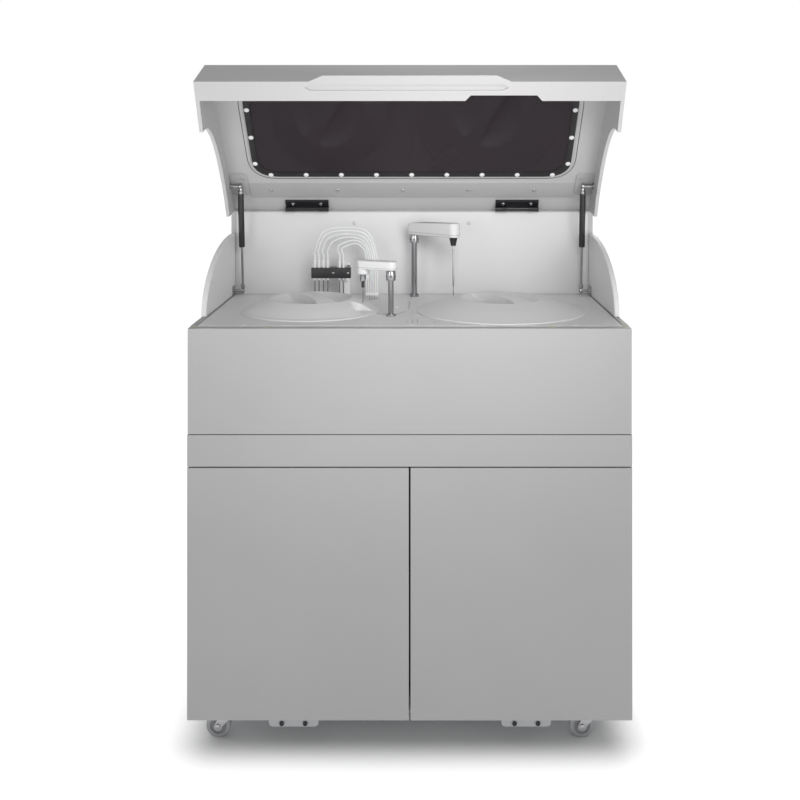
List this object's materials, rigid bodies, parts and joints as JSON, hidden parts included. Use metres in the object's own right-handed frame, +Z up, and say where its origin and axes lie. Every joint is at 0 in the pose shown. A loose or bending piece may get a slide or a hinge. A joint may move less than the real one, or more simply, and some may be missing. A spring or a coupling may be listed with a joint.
{
  "type": "chemistry analyzer",
  "caption": "Floor-standing lab analyzer on casters: hinged tinted-window lid on gas struts over carousels and probe arms, above a cabinet with doors.",
  "frame": {"origin": "on the floor, under the middle of the cabinet", "axes": "+Z up, +X to the right as seen from the front, +Y from the front towards the rear; the front faces -Y"},
  "size_m": [0.9, 0.68, 1.4124],
  "materials": {
    "painted_white": "satin powder coat",
    "moulded_white": "satin painted moulding",
    "white_plastic": "satin",
    "soft_tubing": "soft translucent white",
    "grey_plastic": "matte",
    "frame_paint": "satin",
    "steel": "polished to brushed",
    "black_paint": "satin",
    "black_plastic": "matte",
    "smoked_acrylic": "clear gloss, tinted",
    "caster_tyre": "smooth"
  },
  "bodies": {
    "root": {"chassis_frame": "frame_paint", "base_plate": "frame_paint", "left_side_panel": "painted_white", "right_side_panel": "painted_white", "rear_panel": "painted_white", "front_upper_panel": "painted_white", "front_band": "painted_white", "left_foot_plate": "frame_paint", "right_foot_plate": "frame_paint", "deck_plate": "painted_white", "left_wing": "moulded_white", "right_wing": "moulded_white", "back_wall": "painted_white", "rear_housing": "moulded_white", "left_lower_stud": "steel", "right_lower_stud": "steel", "left_hinge_leaf": "black_paint", "right_hinge_leaf": "black_paint", "left_door_pivot": "frame_paint", "right_door_pivot": "frame_paint", "wash_support": "white_plastic", "wash_tubes": "soft_tubing", "left_rotor_motor": "black_paint", "right_rotor_motor": "black_paint", "pump_unit": "grey_plastic", "fluid_bottles": "white_plastic", "power_supply": "grey_plastic"},
    "lid": {"lid_shell": "moulded_white", "lid_window": "smoked_acrylic", "window_frame": "black_plastic", "left_hinge_strap": "black_paint", "right_hinge_strap": "black_paint", "left_upper_stud": "steel", "right_upper_stud": "steel"},
    "left_strut_rod": {"left_strut_rod": "steel"},
    "left_strut_tube": {"left_strut_tube": "black_paint"},
    "right_strut_rod": {"right_strut_rod": "steel"},
    "right_strut_tube": {"right_strut_tube": "black_paint"},
    "left_disc_cover": {"left_disc_cover": "white_plastic"},
    "right_disc_cover": {"right_disc_cover": "white_plastic"},
    "left_rotor": {"left_rotor": "grey_plastic"},
    "right_rotor": {"right_rotor": "grey_plastic", "reagent_rack": "white_plastic"},
    "left_post": {"left_post": "steel"},
    "left_arm": {"left_arm_cover": "white_plastic", "left_probe": "steel"},
    "right_post": {"right_post": "steel"},
    "right_arm": {"right_arm_cover": "white_plastic", "right_probe": "steel"},
    "wash_head": {"wash_block": "black_plastic"},
    "left_door": {"left_door": "painted_white"},
    "right_door": {"right_door": "painted_white"},
    "front_left_fork": {"front_left_caster_fork": "steel"},
    "front_left_wheel": {"front_left_caster_wheel": "caster_tyre"},
    "front_right_fork": {"front_right_caster_fork": "steel"},
    "front_right_wheel": {"front_right_caster_wheel": "caster_tyre"},
    "rear_left_fork": {"rear_left_caster_fork": "steel"},
    "rear_left_wheel": {"rear_left_caster_wheel": "caster_tyre"},
    "rear_right_fork": {"rear_right_caster_fork": "steel"},
    "rear_right_wheel": {"rear_right_caster_wheel": "caster_tyre"}
  },
  "joints": [
    {"name": "lid_hinge", "type": "hinge", "parent": "root", "child": "lid", "pos_m": [0, 0.115, 1.08], "axis": [-1, 0, 0], "range_deg": [-60, 0]},
    {"name": "left_strut_pivot", "type": "hinge", "parent": "root", "child": "left_strut_rod", "pos_m": [-0.414, 0.1, 0.881], "axis": [-1, 0, 0], "range_deg": [-10.5, 0]},
    {"name": "left_strut_slide", "type": "slide", "parent": "left_strut_rod", "child": "left_strut_tube", "axis": [0, -0.1274, 0.9919], "range_m": [-0.064, 0]},
    {"name": "right_strut_pivot", "type": "hinge", "parent": "root", "child": "right_strut_rod", "pos_m": [0.414, 0.1, 0.881], "axis": [-1, 0, 0], "range_deg": [-10.5, 0]},
    {"name": "right_strut_slide", "type": "slide", "parent": "right_strut_rod", "child": "right_strut_tube", "axis": [0, -0.1274, 0.9919], "range_m": [-0.064, 0]},
    {"name": "right_cover_lift", "type": "slide", "parent": "root", "child": "right_disc_cover", "axis": [0, -0.9744, 0.225], "range_m": [0, 0.25]},
    {"name": "left_cover_lift", "type": "slide", "parent": "root", "child": "left_disc_cover", "axis": [-0.3451, -0.9268, 0.1479], "range_m": [0, 0.25]},
    {"name": "left_rotor_spin", "type": "hinge", "parent": "root", "child": "left_rotor", "pos_m": [-0.2238, -0.117, 0.808], "axis": [0, 0, 1], "continuous": true},
    {"name": "right_rotor_spin", "type": "hinge", "parent": "root", "child": "right_rotor", "pos_m": [0.2017, -0.117, 0.808], "axis": [0, 0, 1], "continuous": true},
    {"name": "left_arm_lift", "type": "slide", "parent": "root", "child": "left_post", "axis": [0, 0, 1], "range_m": [0, 0.06]},
    {"name": "left_arm_swing", "type": "hinge", "parent": "left_post", "child": "left_arm", "pos_m": [-0.0426, -0.191, 0.9665], "axis": [0, 0, 1], "range_deg": [-60, 80]},
    {"name": "right_arm_lift", "type": "slide", "parent": "root", "child": "right_post", "axis": [0, 0, 1], "range_m": [0, 0.06]},
    {"name": "right_arm_swing", "type": "hinge", "parent": "right_post", "child": "right_arm", "pos_m": [0.0057, 0.087, 1.02], "axis": [0, 0, -1], "range_deg": [-43, 47]},
    {"name": "wash_head_lift", "type": "slide", "parent": "root", "child": "wash_head", "axis": [0, 0, 1], "range_m": [0, 0.02], "deforming": ["wash_tubes"]},
    {"name": "left_door_hinge", "type": "hinge", "parent": "root", "child": "left_door", "pos_m": [-0.442, -0.328, 0.076], "axis": [0, 0, -1], "range_deg": [0, 110]},
    {"name": "right_door_hinge", "type": "hinge", "parent": "root", "child": "right_door", "pos_m": [0.442, -0.328, 0.076], "axis": [0, 0, 1], "range_deg": [0, 110]},
    {"name": "front_left_caster_swivel", "type": "hinge", "parent": "root", "child": "front_left_fork", "pos_m": [-0.38, -0.26, 0.0757], "axis": [0, 0, 1], "continuous": true},
    {"name": "front_left_caster_axle", "type": "hinge", "parent": "front_left_fork", "child": "front_left_wheel", "pos_m": [-0.401, -0.26, 0.02452], "axis": [0, 1, 0], "continuous": true},
    {"name": "front_right_caster_swivel", "type": "hinge", "parent": "root", "child": "front_right_fork", "pos_m": [0.38, -0.26, 0.0757], "axis": [0, 0, 1], "continuous": true},
    {"name": "front_right_caster_axle", "type": "hinge", "parent": "front_right_fork", "child": "front_right_wheel", "pos_m": [0.359, -0.26, 0.02452], "axis": [0, 1, 0], "continuous": true},
    {"name": "rear_left_caster_swivel", "type": "hinge", "parent": "root", "child": "rear_left_fork", "pos_m": [-0.38, 0.26, 0.0757], "axis": [0, 0, 1], "continuous": true},
    {"name": "rear_left_caster_axle", "type": "hinge", "parent": "rear_left_fork", "child": "rear_left_wheel", "pos_m": [-0.401, 0.26, 0.02452], "axis": [0, 1, 0], "continuous": true},
    {"name": "rear_right_caster_swivel", "type": "hinge", "parent": "root", "child": "rear_right_fork", "pos_m": [0.38, 0.26, 0.0757], "axis": [0, 0, 1], "continuous": true},
    {"name": "rear_right_caster_axle", "type": "hinge", "parent": "rear_right_fork", "child": "rear_right_wheel", "pos_m": [0.359, 0.26, 0.02452], "axis": [0, 1, 0], "continuous": true}
  ],
  "couplings": [
    {"joint": "left_strut_pivot", "follows": "lid_hinge", "ratio": 0.1718},
    {"joint": "left_strut_slide", "follows": "lid_hinge", "m_per_rad": 0.060635},
    {"joint": "right_strut_pivot", "follows": "lid_hinge", "ratio": 0.1718},
    {"joint": "right_strut_slide", "follows": "lid_hinge", "m_per_rad": 0.060635}
  ]
}
